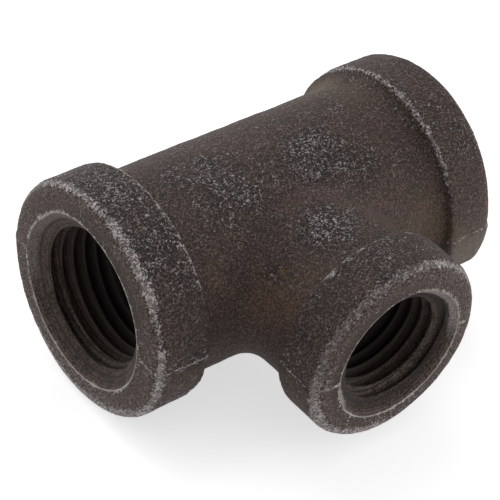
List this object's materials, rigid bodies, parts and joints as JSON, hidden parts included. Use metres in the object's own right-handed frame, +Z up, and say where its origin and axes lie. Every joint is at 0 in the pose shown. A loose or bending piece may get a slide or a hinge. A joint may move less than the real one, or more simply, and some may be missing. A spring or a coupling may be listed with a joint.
{
  "type": "reducing pipe tee",
  "caption": "Black malleable-iron reducing pipe tee: a straight run with banded, tapped ends and a smaller tapped branch at right angles.",
  "frame": {"origin": "under the middle of the part's box, on the surface it lies on", "axes": "+X along the run, -Y out of the branch, +Z up, square to the plane of the three pipe axes"},
  "size_m": [0.0448, 0.0356, 0.0255],
  "materials": {
    "body_iron": "sand-cast, dark oxide",
    "band_iron": "sand-cast, dark oxide, worn at the edges"
  },
  "bodies": {
    "root": {"tee_body": "body_iron", "run_band_left": "band_iron", "run_band_right": "band_iron", "branch_band": "band_iron"}
  },
  "joints": []
}
